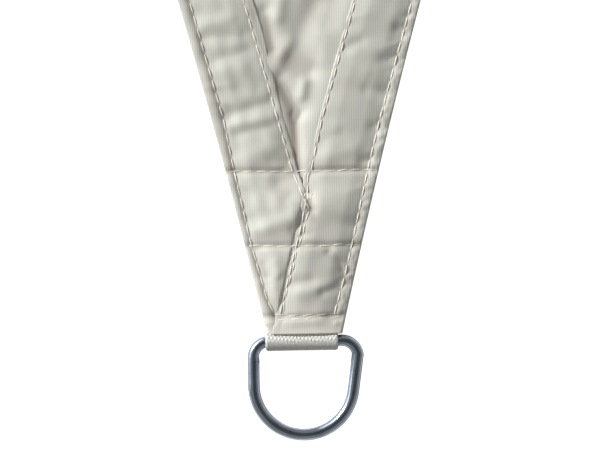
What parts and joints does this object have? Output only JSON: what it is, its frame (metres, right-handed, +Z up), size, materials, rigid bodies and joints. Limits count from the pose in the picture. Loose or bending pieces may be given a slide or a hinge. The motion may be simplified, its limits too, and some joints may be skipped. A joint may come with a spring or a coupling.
{
  "type": "triangular shade sail with corner d-rings",
  "caption": "Triangular woven shade sail laid flat, with hollow hemmed edges and narrow stitched corners, each with a webbing loop that holds a steel D-ring.",
  "frame": {"origin": "middle of the laid-out sail's box, on the ground", "axes": "+Z up, out of the hemmed side; -Y towards the first corner; +X across that corner, to the right when it points down"},
  "size_m": [2.0058, 1.7438, 0.012],
  "materials": {
    "cloth": "closely woven ivory polyester with fine upright ribs and a slight sheen",
    "webbing": "cream polyester webbing with slanting twill ribs, matt",
    "thread": "cream polyester sewing thread, satin",
    "ring_steel": "bright zinc-plated steel, smooth, slightly blue"
  },
  "bodies": {
    "root": {"sail_cloth": "cloth", "webbing_loop_1": "webbing", "webbing_loop_2": "webbing", "webbing_loop_3": "webbing", "d_ring_1": "ring_steel", "d_ring_2": "ring_steel", "d_ring_3": "ring_steel"}
  },
  "joints": []
}
